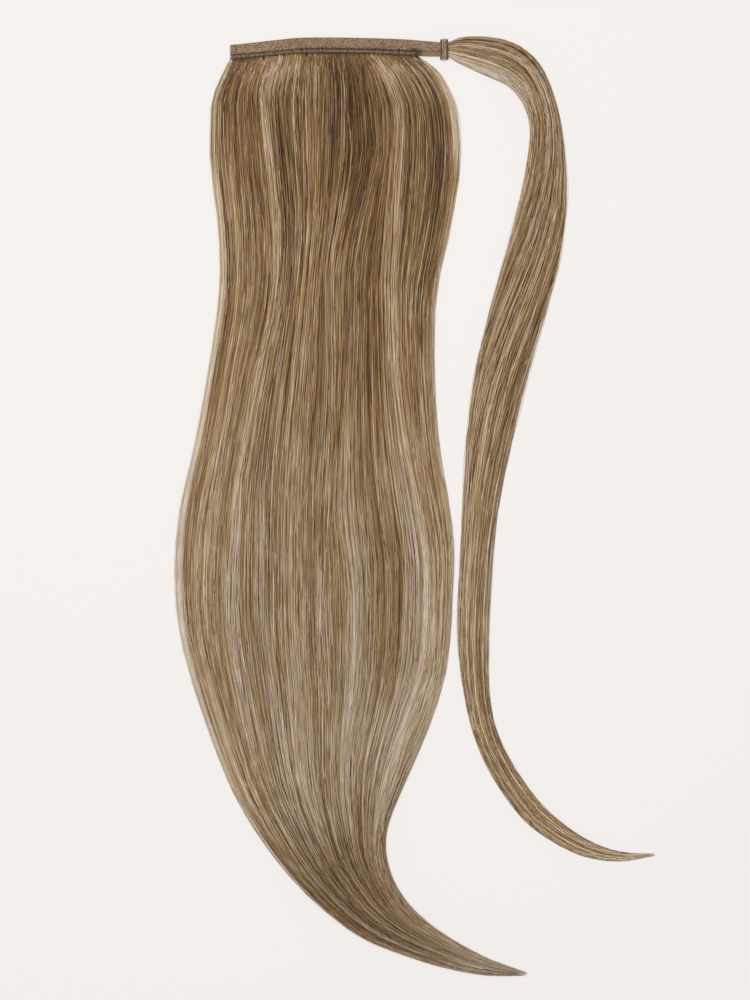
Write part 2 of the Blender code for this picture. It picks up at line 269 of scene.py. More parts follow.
def ease(value):
    """0 below 0, 1 above 1, and a smooth rise between."""
    value = np.clip(value, 0, 1)
    return value * value * (3 - 2 * value)


# %% [markdown]
# The band's two edges bow a little, and its left end drops. What is sewn to it follows that bow, so
# its table comes first: share of the length, share of the sag, share of the width.

# %% The band's line
BAND_LENGTH = 0.1238
BAND_WIDTH = 0.0092
BAND_SAG = 0.0040
TAIL_LENGTH = 0.0153
TAPE_THICKNESS = 0.0019
WEFT_LENGTH = BAND_LENGTH - TAIL_LENGTH
WEFT_MIDDLE = -BAND_LENGTH / 2 + WEFT_LENGTH / 2
BAND = (
    (0.00, 1.00, 0.90), (0.11, 0.66, 0.94), (0.22, 0.32, 0.98), (0.32, 0.04, 1.00),
    (0.50, 0.00, 1.00), (0.69, 0.12, 1.00), (0.83, 0.30, 1.00), (0.92, 0.50, 0.95),
    (0.98, 0.64, 0.88), (1.00, 0.66, 0.87),
)


def band_line(x):
    """Y of the band's middle, and half its width, at each x."""
    share = np.clip(np.asarray(x, float) / BAND_LENGTH + 0.5, 0, 1)
    row = read_table(BAND, [r[0] for r in BAND], share)
    return -BAND_SAG * row[..., 1], BAND_WIDTH * row[..., 2] / 2


def band_edge(x):
    middle, half = band_line(x)
    return middle - half


print("the band's lower edge at its middle is", round(float(band_edge(0.0)) * 1000, 2), "mm")

# %% [markdown]
# The loose hair's table gives, from the weft to the tip: how far down and across the middle lock is,
# how wide the hair spreads, how many degrees the section is turned, and how thick the pile is. A
# place in the hair is u across, from -1 to 1, s along, from 0 to 1, and lift, 0 underneath and 1 on
# top. Near the weft the hair is held, and it is let go over the first part of its length.

# %% The flow of the loose hair
HAIR_LENGTH = 0.600
PANEL_WIDTH = 0.161
PANEL_THICKNESS = 0.0140
WEFT_TOP = 0.0026
FIT_GAP = 0.0003
HAIR_EDGE = 0.0008
PANEL_RELEASE = 0.060
PANEL = (
    (0.000, 0.000, 0.870, 0, 0.40), (0.015, 0.006, 0.870, 0, 0.41),
    (0.034, 0.008, 0.872, 0, 0.46), (0.063, 0.010, 0.887, 0, 0.54),
    (0.105, 0.011, 0.894, 0, 0.62), (0.169, 0.010, 0.829, 0, 0.69),
    (0.228, 0.004, 0.775, -1, 0.74), (0.300, -0.002, 0.804, -1, 0.78),
    (0.380, -0.007, 0.879, 0, 0.82), (0.431, -0.009, 0.957, 1, 0.86),
    (0.481, -0.009, 1.000, 2, 0.90), (0.530, -0.009, 0.990, 3, 0.94),
    (0.569, -0.006, 0.957, 5, 0.97), (0.613, -0.001, 0.890, 8, 1.00),
    (0.654, 0.001, 0.795, 10, 1.00), (0.698, 0.003, 0.667, 14, 1.00),
    (0.737, 0.007, 0.521, 19, 0.99), (0.772, 0.015, 0.385, 28, 0.95),
    (0.802, 0.031, 0.290, 41, 0.87), (0.830, 0.054, 0.215, 53, 0.75),
    (0.851, 0.085, 0.152, 66, 0.60), (0.868, 0.120, 0.108, 78, 0.44),
    (0.881, 0.158, 0.062, 84, 0.28), (0.888, 0.197, 0.010, 88, 0.12),
)
PANEL_KEYS = distances([(row[1], row[0]) for row in PANEL])


def dome(u):
    return (1 - np.minimum(np.abs(u), 1) ** 2.4) ** 0.6


def panel_point(u, s, lift):
    """The point of the loose hair at each u, s and lift. Below 0, s runs on under the weft."""
    under = np.minimum(s, 0)
    s = np.clip(s, 0, 1)
    drop, sway, spread, lean, loft = np.moveaxis(
        read_table(PANEL, PANEL_KEYS, s * PANEL_KEYS[-1]), -1, 0
    )
    lean = np.radians(lean)
    free = 1 - (1 - np.minimum(s / PANEL_RELEASE, 1)) ** 2
    half = mix(WEFT_LENGTH, PANEL_WIDTH * spread, free) / 2
    root = band_edge(WEFT_MIDDLE + np.clip(u, -1, 1) * WEFT_LENGTH / 2)
    bow = (root - band_edge(WEFT_MIDDLE)) * (1 - free)
    x = WEFT_MIDDLE + HAIR_LENGTH * sway + half * u * np.cos(lean)
    y = band_edge(WEFT_MIDDLE) - FIT_GAP - HAIR_LENGTH * (drop + under)
    y = y + half * u * np.sin(lean) + bow
    thickness = mix(WEFT_TOP, PANEL_THICKNESS * loft, free)
    z = lift * (HAIR_EDGE + (thickness - HAIR_EDGE) * dome(u))
    return np.stack([x, y, z], axis=-1)


tip = panel_point(np.array(0.0), np.array(1.0), np.array(0.5))
print("the loose hair's tip is at", tip.round(3))

# %% [markdown]
# The wrap strand's table gives how far across and down its middle is, its width and its thickness.
# It is a bundle with a twist, so a place in it is an angle round the bundle and a share of the way
# out from its core: locks that start on the arch's outer side cross over to its inner side.

# %% The flow of the wrap strand
WRAP_LENGTH = 0.566
WRAP_WIDTH = 0.0317
WRAP_THICKNESS = 0.0080
BINDING_LENGTH = 0.0040
TAIL_FLOOR = 0.0018
STRAND_RELEASE = 0.016
STRAND_NECK = 0.0040
HEADING_STEP = 0.002
STRAND = (
    (0.000, 0.000, 0.36, 0.55), (0.004, 0.000, 0.42, 0.60), (0.018, 0.001, 0.53, 0.68),
    (0.037, 0.005, 0.67, 0.80), (0.059, 0.012, 0.74, 0.90), (0.077, 0.024, 0.68, 0.98),
    (0.090, 0.044, 0.58, 1.00), (0.098, 0.067, 0.54, 1.00), (0.101, 0.094, 0.60, 0.97),
    (0.099, 0.145, 0.80, 0.88), (0.093, 0.181, 0.91, 0.82), (0.086, 0.214, 1.00, 0.78),
    (0.077, 0.247, 1.00, 0.76), (0.055, 0.329, 0.95, 0.76), (0.040, 0.411, 0.79, 0.78),
    (0.035, 0.451, 0.67, 0.80), (0.031, 0.491, 0.60, 0.80), (0.026, 0.573, 0.58, 0.78),
    (0.026, 0.614, 0.54, 0.74), (0.029, 0.655, 0.45, 0.70), (0.037, 0.696, 0.41, 0.66),
    (0.055, 0.736, 0.42, 0.60), (0.084, 0.777, 0.43, 0.52), (0.107, 0.797, 0.39, 0.44),
    (0.139, 0.816, 0.31, 0.34), (0.174, 0.825, 0.18, 0.24), (0.213, 0.823, 0.03, 0.14),
)
STRAND_KEYS = distances([row[:2] for row in STRAND])
STRAND_START = (
    BAND_LENGTH / 2 + BINDING_LENGTH / 2 + FIT_GAP,
    float(band_line(BAND_LENGTH / 2)[0]),
)


def strand_middle(s):
    row = read_table(STRAND, STRAND_KEYS, np.clip(s, 0, 1) * STRAND_KEYS[-1])
    x = STRAND_START[0] + WRAP_LENGTH * (row[..., 0] + np.minimum(s, 0))
    return x, STRAND_START[1] - WRAP_LENGTH * row[..., 1], row[..., 2], row[..., 3]


def strand_point(u, s, lift):
    """The point of the wrap strand at each u, s and lift. u is -1 on the arch's outer side."""
    x, y, width, loft = strand_middle(s)
    next_x, next_y = strand_middle(np.clip(s, 0, 1 - HEADING_STEP) + HEADING_STEP)[:2]
    last_x, last_y = strand_middle(np.clip(s, HEADING_STEP, 1) - HEADING_STEP)[:2]
    heading = np.stack([next_x - last_x, next_y - last_y])
    heading = heading / np.hypot(*heading)
    free = 1 - (1 - np.clip(s / STRAND_RELEASE, 0, 1)) ** 2
    half = mix(STRAND_NECK, WRAP_WIDTH * width / 2, free)
    floor_z = mix(TAIL_FLOOR, 0, free)
    thickness = mix(TAPE_THICKNESS, WRAP_THICKNESS * loft, free)
    z = floor_z + lift * (HAIR_EDGE + (thickness - HAIR_EDGE) * dome(u))
    return np.stack([x + heading[1] * half * u, y - heading[0] * half * u, z], axis=-1)


tip = strand_point(np.array(0.0), np.array(1.0), np.array(0.5))
print("the wrap strand's tip is at", tip.round(3))

# %% [markdown]
# A strand, a thread and a loop of the tape's pile are all thin tubes with a point at each end. One
# function makes a whole set of them as a single closed mesh straight from arrays, because thousands
# of separate curves would be slow. Each tube gets a column of the UV map to itself, so that the
# fine lines of the hair follow it, and so that each face has room when its colour is baked.

# %% Many thin tubes as one mesh
COLUMNS = 260
COLUMN_ROWS = 4
COLUMN_FILL = (0.92, 0.97)
COLUMN_MARGIN = (0.04, 0.015)


def tube_mesh(name, paths, widths, flatness, rolls, material, values, sides=3):
    """One mesh of thin tubes. paths: tubes x stations x 3; values: numbers kept at each station."""
    tubes, stations = paths.shape[:2]
    rings = stations - 2
    ahead = np.gradient(paths, axis=1)
    ahead /= np.linalg.norm(ahead, axis=2, keepdims=True)
    side = np.cross(ahead, (0.0, 0.0, 1.0))
    side /= np.maximum(np.linalg.norm(side, axis=2, keepdims=True), 1e-9)
    rise = np.cross(side, ahead)
    angle = (rolls[:, None, None] + np.arange(sides) * 2 * math.pi / sides)[..., None]
    reach = widths[:, 1:-1, None, None] / 2
    ring = paths[:, 1:-1, None] + reach * (
        np.cos(angle) * side[:, 1:-1, None] + flatness * np.sin(angle) * rise[:, 1:-1, None]
    )
    points = np.concatenate([paths[:, :1], ring.reshape(tubes, -1, 3), paths[:, -1:]], axis=1)
    per_tube = points.shape[1]

    k = np.arange(sides)
    after = (k + 1) % sides
    ring_index = 1 + np.arange(rings)[:, None] * sides
    a, a_next = ring_index[:-1] + k, ring_index[:-1] + after
    b, b_next = a + sides, a_next + sides
    first, last = np.full(sides, 0), np.full(sides, per_tube - 1)
    end = 1 + (rings - 1) * sides
    faces = np.concatenate([
        np.stack([first, 1 + k, 1 + after], axis=-1),
        np.stack([a, b, b_next], axis=-1).reshape(-1, 3),
        np.stack([a, b_next, a_next], axis=-1).reshape(-1, 3),
        np.stack([end + k, last, end + after], axis=-1),
    ])

    left, right = k / sides, (k + 1) / sides
    middle = (left + right) / 2
    height = np.linspace(0, 1, stations)
    low, high = height[1:-2, None] + 0 * left, height[2:-1, None] + 0 * left
    left_all, right_all = left + 0 * low, right + 0 * low
    flat = np.concatenate([
        corner_list((middle, left, right), (0 * left, 0 * left + height[1], 0 * left + height[1])),
        corner_list((left_all, left_all, right_all), (low, high, high)),
        corner_list((left_all, right_all, right_all), (low, high, low)),
        corner_list(
            (left, middle, right), (0 * left + height[-2], 0 * left + 1, 0 * left + height[-2])
        ),
    ])
    number = np.arange(tubes)
    corner = np.stack([number % COLUMNS / COLUMNS, number // COLUMNS / COLUMN_ROWS], axis=-1)
    size = np.array([COLUMN_FILL[0] / COLUMNS, COLUMN_FILL[1] / COLUMN_ROWS])
    margin = (COLUMN_MARGIN[0] / COLUMNS, COLUMN_MARGIN[1] / COLUMN_ROWS)
    uv = corner[:, None, None] + size * flat + margin

    mesh = bpy.data.meshes.new(name)
    every_face = (faces + number[:, None, None] * per_tube).reshape(-1, 3)
    mesh.from_pydata(points.reshape(-1, 3), [], every_face)
    mesh.uv_layers.new(name="OFBake").data.foreach_set("uv", uv.ravel())
    for value_name, value in values.items():
        spread = np.concatenate(
            [value[:, :1], np.repeat(value[:, 1:-1], sides, axis=1), value[:, -1:]], axis=1
        )
        keep_value(mesh, value_name, spread)
    mesh.shade_smooth()
    mesh.materials.append(material)
    piece = bpy.data.objects.new(name, mesh)
    bpy.context.scene.collection.objects.link(piece)
    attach(piece, "root")
    print(name, "has", tubes, "tubes and", len(every_face), "triangles")
    return piece


def corner_list(across, up):
    return np.stack([np.stack(across, axis=-1), np.stack(up, axis=-1)], axis=-1).reshape(-1, 3, 2)


def keep_value(mesh, name, value):
    attribute = mesh.attributes.new(name, "FLOAT", "POINT")
    attribute.data.foreach_set("value", value.astype(np.float32).ravel())


# %% [markdown]
# The hair is a blend: brown, golden brown and pale blond strands side by side. Two numbers are kept
# on every strand: tone, from dark brown to pale blond, and warmth, from ash to golden. The material
# reads them, so one material serves every strand, and fine lines on the strand's own UV column stand
# for the single hairs in it.

# %% The hair's material
HAIR_STOPS = (
    (0.00, screen(50, 30, 14)),
    (0.25, screen(100, 70, 33)),
    (0.50, screen(150, 119, 77)),
    (0.75, screen(187, 166, 136)),
    (1.00, screen(222, 210, 194)),
)
GOLDEN = (1.05, 0.99, 0.72, 1.0)
ASHEN = (0.99, 1.00, 1.04, 1.0)
FINE_LINES = (7.0, 8.0)      # lines across a strand's column of the UV map, runs along it
SHORT_GLINTS = (1.7, 45.0)
CLOUD_SCALE = 55.0
FINE_SHARE, GLINT_SHARE, CLOUD_SHARE = 0.24, 0.60, 0.10


def hair_finish(name, roughness):
    """Streaked hair. Its tone and warmth come from the piece's own values."""
    material, tree, shader = new_material(name, roughness, 0.32)
    tone, warmth = own_value(tree, "tone"), own_value(tree, "warmth")
    uv = add_node(tree, "ShaderNodeUVMap", {"uv_map": "OFBake"}, {})
    fine = noise_lines(tree, uv, COLUMNS * FINE_LINES[0], COLUMN_ROWS * FINE_LINES[1], 2.0)
    # Painted glints: short runs along each strand are made lighter and darker, standing for light caught
    # on single hairs.
    glint = noise_lines(tree, uv, COLUMNS * SHORT_GLINTS[0], COLUMN_ROWS * SHORT_GLINTS[1], 1.0)
    place = add_node(tree, "ShaderNodeTexCoord", {}, {}, output="Object")
    cloud = add_noise(tree, place, CLOUD_SCALE, 2.0)
    value = tone + (fine - 0.5) * FINE_SHARE + (glint - 0.5) * GLINT_SHARE
    value = value + (cloud - 0.5) * CLOUD_SHARE
    colour = add_node(tree, "ShaderNodeValToRGB", {"stops": HAIR_STOPS}, {0: value})
    tint = mix_colours(tree, warmth, ASHEN, GOLDEN)
    colour = mix_colours(tree, 1.0, colour, tint, blend="MULTIPLY")
    feed(tree, shader, Base_Color=colour, Roughness=roughness - 0.08 + fine * 0.16)
    add_bump(tree, shader, fine, 0.35, 0.00005)
    return material


hair = hair_finish("brown_blond_hair", 0.46)

# %% [markdown]
# Straight hair isn't quite straight: locks bend to one side and back. These rows hold where eight
# chosen locks lie across the hair (u) as they run down it (s), and every other strand follows
# its neighbours among them.

# %% Where the locks wander
LOCK_HOMES = (-1.0, -0.80, -0.55, -0.38, -0.08, 0.12, 0.25, 0.50, 0.75, 1.0)
LOCK_PATHS = (
    # s, then u of each lock between the two edges
    (0.00, -0.80, -0.53, -0.35, 0.00, 0.22, 0.40, 0.51, 0.79),
    (0.012, -0.81, -0.575, -0.39, -0.045, 0.16, 0.335, 0.485, 0.74),
    (0.03, -0.81, -0.60, -0.41, -0.05, 0.15, 0.31, 0.51, 0.75),
    (0.06, -0.80, -0.57, -0.41, -0.06, 0.13, 0.31, 0.53, 0.76),
    (0.10, -0.78, -0.54, -0.38, -0.08, 0.12, 0.31, 0.50, 0.76),
    (0.15, -0.78, -0.52, -0.36, -0.10, 0.06, 0.22, 0.50, 0.77),
    (0.20, -0.78, -0.50, -0.36, -0.12, 0.01, 0.17, 0.54, 0.78),
    (0.25, -0.78, -0.50, -0.37, -0.11, 0.05, 0.21, 0.60, 0.80),
    (0.30, -0.80, -0.55, -0.39, -0.10, 0.10, 0.22, 0.63, 0.82),
    (0.38, -0.80, -0.60, -0.40, -0.10, 0.11, 0.20, 0.70, 0.86),
    (0.45, -0.79, -0.60, -0.38, -0.10, 0.09, 0.19, 0.75, 0.88),
    (0.52, -0.80, -0.62, -0.38, -0.09, 0.09, 0.24, 0.79, 0.90),
    (0.60, -0.82, -0.66, -0.41, -0.12, 0.06, 0.20, 0.77, 0.90),
    (0.70, -0.82, -0.68, -0.43, -0.16, 0.02, 0.14, 0.66, 0.84),
    (0.78, -0.80, -0.64, -0.37, -0.08, 0.09, 0.24, 0.72, 0.86),
    (0.88, -0.80, -0.58, -0.38, -0.08, 0.12, 0.26, 0.58, 0.79),
    (1.00, -0.80, -0.55, -0.38, -0.08, 0.12, 0.25, 0.50, 0.75),
)


def wander(home, s):
    """Where the strand of each home lies at s. home: strands x 1; s: strands x stations."""
    rows = [(-1.0, *row[1:], 1.0) for row in LOCK_PATHS]
    paths = read_table(rows, [row[0] for row in LOCK_PATHS], s)
    homes = np.asarray(LOCK_HOMES)
    i = np.clip(np.searchsorted(homes, home) - 1, 0, len(homes) - 2)
    share = (home - homes[i]) / (homes[i + 1] - homes[i])
    i = np.broadcast_to(i, s.shape)[..., None]
    low = np.take_along_axis(paths, i, axis=-1)[..., 0]
    high = np.take_along_axis(paths, i + 1, axis=-1)[..., 0]
    return mix(low, high, share)


# %% [markdown]
# The blond is not even either. Each row here is a pale or a dark streak: the home of its middle, its
# half width, where along the hair it starts and ends, and how much it adds to the tone. A last table
# gives the tone and warmth that all the hair has from root to tip. That run is partly the hair's own
# colour and partly painted light: the tone is raised right at the root against the shade under the
# weft, and down the middle of the length, to about 0.7, the hair grows lighter and greyer, partly as
# painted sheen.

# %% Streaks and the run of colour from root to tip
STREAKS = (
    (-0.50, 0.190, -0.05, 0.055, 0.27), (-0.30, 0.040, -0.05, 0.040, 0.20),
    (-0.56, 0.040, 0.03, 0.26, 0.26), (-0.56, 0.070, 0.24, 0.66, 0.16),
    (-0.77, 0.050, 0.32, 0.60, 0.12), (-0.38, 0.022, 0.40, 0.80, 0.22),
    (0.13, 0.030, 0.12, 0.34, 0.18), (0.27, 0.030, 0.33, 0.80, 0.24),
    (0.56, 0.180, -0.05, 0.050, 0.21), (0.50, 0.060, 0.00, 0.080, 0.16),
    (0.50, 0.045, 0.04, 0.22, 0.22), (0.52, 0.080, 0.18, 0.58, 0.20),
    (0.58, 0.130, 0.50, 0.84, 0.18), (0.98, 0.050, 0.00, 0.12, 0.50),
    (-0.98, 0.030, 0.10, 0.70, 0.16), (0.99, 0.030, 0.10, 0.86, 0.20),
    (-0.91, 0.045, 0.20, 0.46, -0.16), (0.15, 0.200, -0.05, 0.16, -0.13),
    (-0.90, 0.100, -0.05, 0.12, -0.14), (0.84, 0.090, 0.02, 0.24, -0.16),
    (0.38, 0.050, 0.16, 0.36, -0.14), (0.41, 0.040, 0.44, 0.66, -0.10),
    (-0.43, 0.018, 0.04, 0.22, -0.18), (0.02, 0.030, 0.74, 0.95, -0.14),
    (-0.30, 0.040, 0.76, 0.96, -0.12),
)
RUN_OF_COLOUR = (
    # s, tone, warmth
    (0.00, 0.40, 0.16), (0.02, 0.33, 0.24), (0.05, 0.34, 0.40), (0.10, 0.37, 0.68),
    (0.20, 0.41, 0.68), (0.30, 0.46, 0.56), (0.40, 0.53, 0.42), (0.55, 0.58, 0.27),
    (0.70, 0.61, 0.18), (0.80, 0.38, 0.20), (0.90, 0.52, 0.18), (0.95, 0.64, 0.12),
    (1.00, 0.84, 0.00),
)
LEFT_TO_RIGHT = (-0.030, 0.050)


def streak_tone(home, s):
    tone = np.zeros(s.shape)
    for middle, half, start, end, strength in STREAKS:
        across = np.exp(-(((home - middle) / half) ** 2))
        fade = min(0.05, 0.25 * (end - start) + 0.005)
        tone += strength * across * ease((s - start) / fade) * ease((end - s) / fade)
    return tone + home * mix(*LEFT_TO_RIGHT, ease((s - 0.3) / 0.3))


def run_of_colour(s):
    rows = [row[1:] for row in RUN_OF_COLOUR]
    return read_table(rows, [row[0] for row in RUN_OF_COLOUR], np.clip(s, 0, 1))


# %% [markdown]
# Under the strands lies a body that fills the hair and closes any gap between them. It starts as a
# flat grid that is extruded once, and its points are then moved by the flow, so its underside is flat
# and its top is the dome of the pile. It stays a little inside the strands.

# %% A body of hair from a grid
BODY_REACH = 0.965        # the share of the length at which the body stops
BODY_POINT = 0.10         # the share over which it narrows to its tip
BODY_TIP = 0.004
BODY_CLEARANCE = 0.0002


def hair_body(name, point, columns, rows, width, height, node, tone_at, material):
    """A closed body that follows a flow and stands for a node of the frame."""
    bpy.ops.mesh.primitive_grid_add(
        x_subdivisions=columns, y_subdivisions=rows, size=2, location=(0, 0, 0)
    )
    body = bpy.context.object
    body.name = body.data.name = name
    bpy.ops.object.mode_set(mode="EDIT")
    bpy.ops.mesh.select_all(action="SELECT")
    bpy.ops.mesh.extrude_region_move(TRANSFORM_OT_translate={"value": (0, 0, 1)})
    bpy.ops.object.mode_set(mode="OBJECT")

    co = np.zeros(len(body.data.vertices) * 3)
    body.data.vertices.foreach_get("co", co)
    co = co.reshape(-1, 3)
    u, s, top = co[:, 0], (1 - co[:, 1]) / 2, co[:, 2]
    pointed = np.sqrt(np.clip((1 - s) / BODY_POINT, BODY_TIP, 1))
    placed = point(u * width * pointed, s * BODY_REACH, mix(0.0, height, top))
    placed[:, 2] += BODY_CLEARANCE
    body.data.vertices.foreach_set("co", placed.ravel())

    corner = np.zeros(len(body.data.loops), int)
    body.data.loops.foreach_get("vertex_index", corner)
    flat = np.stack([(u + 1) / 2, s], axis=-1)[corner]
    flat[:, 0] = flat[:, 0] * 0.48 + np.where(top[corner] > 0.5, 0.01, 0.51)
    body.data.uv_layers.active.name = "OFBake"
    body.data.uv_layers.active.data.foreach_set("uv", flat.ravel())
    tone, warmth = tone_at(u, s)
    keep_value(body.data, "tone", tone)
    keep_value(body.data, "warmth", warmth)

    bpy.ops.object.mode_set(mode="EDIT")
    bpy.ops.mesh.select_all(action="SELECT")
    bpy.ops.mesh.normals_make_consistent(inside=False)
    bpy.ops.object.mode_set(mode="OBJECT")
    bpy.ops.object.shade_smooth_by_angle(angle=math.radians(50))
    body.data.materials.append(material)
    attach(body, "root")
    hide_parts(node)
    body.select_set(False)
    print(name, "has", len(body.data.polygons), "faces")


def under_panel_tone(u, s):
    run = run_of_colour(s)
    # Painted shade: the body is darker than the strands over it, more so at the root under the weft and
    # less towards the tip.
    shade = 0.10 + 0.04 * ease((0.03 - s) / 0.03) - 0.10 * ease((s - 0.90) / 0.08)
    return run[:, 0] - shade + streak_tone(u, s) * 0.5, run[:, 1]


def under_strand_tone(u, s):
    # Painted shade: the wrap body is darker than its strands, as shade under them, and paler near the tip.
    return 0.42 - 0.1 * s + 0.3 * ease((s - 0.85) / 0.15), 0.5 + 0 * s


# %% [markdown]
# The body's material is the strands' own colour, with the body's tone painted darker as shade under
# the strands. Its UV map covers the whole width of the hair, so its lines are set by how many of them
# run side by side: many for the loose hair, fewer for the narrow wrap strand.

# %% The bodies
def under_hair_finish(name, lock_lines, fine_lines):
    material, tree, shader = new_material(name, 0.6, 0.3)
    uv = add_node(tree, "ShaderNodeUVMap", {"uv_map": "OFBake"}, {})
    locks = noise_lines(tree, uv, lock_lines, 7.0, 3.0)
    hairs = noise_lines(tree, uv, fine_lines, 12.0, 3.0)
    value = own_value(tree, "tone") + (locks - 0.5) * 0.7 + (hairs - 0.5) * 0.7
    colour = add_node(tree, "ShaderNodeValToRGB", {"stops": HAIR_STOPS}, {0: value})
    feed(tree, shader, Base_Color=colour)
    add_bump(tree, shader, locks + hairs, 0.6, 0.0004)
    return material


hair_body(
    "hair_body", panel_point, 40, 64, 0.965, 0.84, "hair_panel", under_panel_tone,
    under_hair_finish("shaded_loose_hair", 260.0, 800.0),
)
hair_body(
    "wrap_body", strand_point, 12, 90, 0.88, 0.58, "wrap_strand", under_strand_tone,
    under_hair_finish("shaded_wrap_hair", 34.0, 100.0),
)

# %% [markdown]
# Now the strands. Each has a home across the hair, belongs to a lock, and sits at some depth in the
# pile. Locks sway together, rise over and dip under each other, share a tone and end together in a
# wisp, while each strand adds a little of its own. The stations along a strand stand closer at the
# root and in the curved tail, where it bends most.

# %% Stations and locks
LOCKS = 78
CLUMPS = 420
STITCHES = 66
ROOT_STATIONS = (0.0, 0.0025, 0.0055, 0.0095, 0.016)
TIP_STATIONS = (0.996, 1.0)
END_SCATTER = 0.018
STRAY_SHARE = 0.15
HAIR_FLATNESS = 0.62
PALE, PALE_HELD = 0.76, 0.55
COOL_FROM, COOLING = 0.52, 1.3
WARMTH_SPREAD = 0.32


def stations_by_bend(point, count):
    """Shares of the length: a few close to the root, and the rest closer where the flow bends."""
    s = np.linspace(0, 1, 601)
    bend = np.zeros(len(s))
    for u in (-0.95, 0.0, 0.95):
        line = point(np.full(len(s), u), s, np.full(len(s), 0.9))
        step = np.diff(line, axis=0)
        length = np.linalg.norm(step, axis=1, keepdims=True)
        turn = np.linalg.norm(np.diff(step / length, axis=0), axis=1) / length[1:, 0]
        bend[1:-1] = np.maximum(bend[1:-1], turn)
    wanted = np.sqrt(bend + 1.5) + 1.5 * np.exp(-s / 0.07)
    density = np.convolve(wanted, np.full(25, 1 / 25), mode="same")
    density[:13], density[-13:] = density[13], density[-13]
    run = np.concatenate([[0], np.cumsum((density[1:] + density[:-1]) / 2)])
    from_root = np.interp(0.024, s, run)
    rest = np.interp(np.linspace(from_root, run[-1], count - len(ROOT_STATIONS) - 1), run, s)
    return np.concatenate([ROOT_STATIONS, rest[:-1], TIP_STATIONS])


def make_locks(rng, count):
    """Edges of the locks across the hair, and what each lock shares."""
    widths = rng.uniform(0.45, 1.6, count)
    edges = np.concatenate([[0], np.cumsum(widths)]) / widths.sum() * 2 - 1
    return {
        "edges": edges,
        "middle": (edges[1:] + edges[:-1]) / 2,
        "tone": rng.normal(0, 0.014, count),
        "warmth": rng.normal(0, 0.07, count),
        "sway": rng.uniform(0.002, 0.009, count),
        "turns": rng.uniform(1.2, 3.4, count),
        "phase": rng.uniform(0, 2 * math.pi, count),
        "rise": rng.uniform(-0.014, 0.014, count),
        "end": 1 - 0.14 * rng.uniform(0, 1, count) ** 1.2,
    }


def clump_tone(share, s):
    """Tone of each clump of a few hairs, which drifts as the clump runs along."""
    rng = np.random.default_rng(13)
    clump = np.clip((share * CLUMPS).astype(int), 0, CLUMPS - 1)
    tone = rng.normal(0, 0.032, CLUMPS)[clump]
    turns, phase = rng.uniform(1, 5, CLUMPS)[clump], rng.uniform(0, 2 * math.pi, CLUMPS)[clump]
    return tone + 0.03 * np.sin(2 * math.pi * turns * s + phase)


def soften(tone):
    """Holds the palest strands back, so that none stands out as a white line."""
    return np.where(tone > PALE, PALE + PALE_HELD * (tone - PALE), tone)


def sway_of(rng, count, low, high, s, turns=(1.0, 4.5)):
    """A strand's own slow sway from side to side."""
    turns, phase = rng.uniform(*turns, (count, 1)), rng.uniform(0, 2 * math.pi, (count, 1))
    return rng.uniform(low, high, (count, 1)) * np.sin(2 * math.pi * turns * s + phase)


def stray_of(rng, count, times):
    """How much more than the others each strand sways: most not at all, a few so many times."""
    return np.where(rng.uniform(0, 1, (count, 1)) < STRAY_SHARE, times, 1.0)


def warmth_of(rng, count, run, tone):
    """Warmth of each strand. The paler it is, the cooler."""
    return run + rng.normal(0, WARMTH_SPREAD, (count, 1)) - COOLING * np.clip(tone - COOL_FROM, 0, 1)


def widths_of(rng, count, width, s, end):
    taper = np.clip((end - s) / 0.10, 0, 1) ** 0.7 * 0.8 + 0.2
    return width * rng.uniform(0.65, 1.3, (count, 1)) * taper


def grow(rng, name, paths, widths, tone, warmth):
    """One set of strands as a piece, kept just clear of the floor."""
    paths[..., 2] = np.maximum(paths[..., 2], widths * 0.32 + 0.0001)
    values = {"tone": np.clip(tone, 0, 1), "warmth": np.clip(warmth, 0, 1)}
    rolls = rng.uniform(0, 2 * math.pi, len(paths))
    piece = tube_mesh(name, paths, widths, HAIR_FLATNESS, rolls, hair, values)


# %% [markdown]
# The loose hair is grown in five sets: a few wide strands on the underside, some that fill the pile,
# two sets of locks near the top and a set of fine hairs over them. Deeper strands are darker, as
# less light reaches them, and a strand that heaves up and down shows for only part of its length.

# %% Strands of the loose hair
PANEL_STATIONS = stations_by_bend(panel_point, 40)


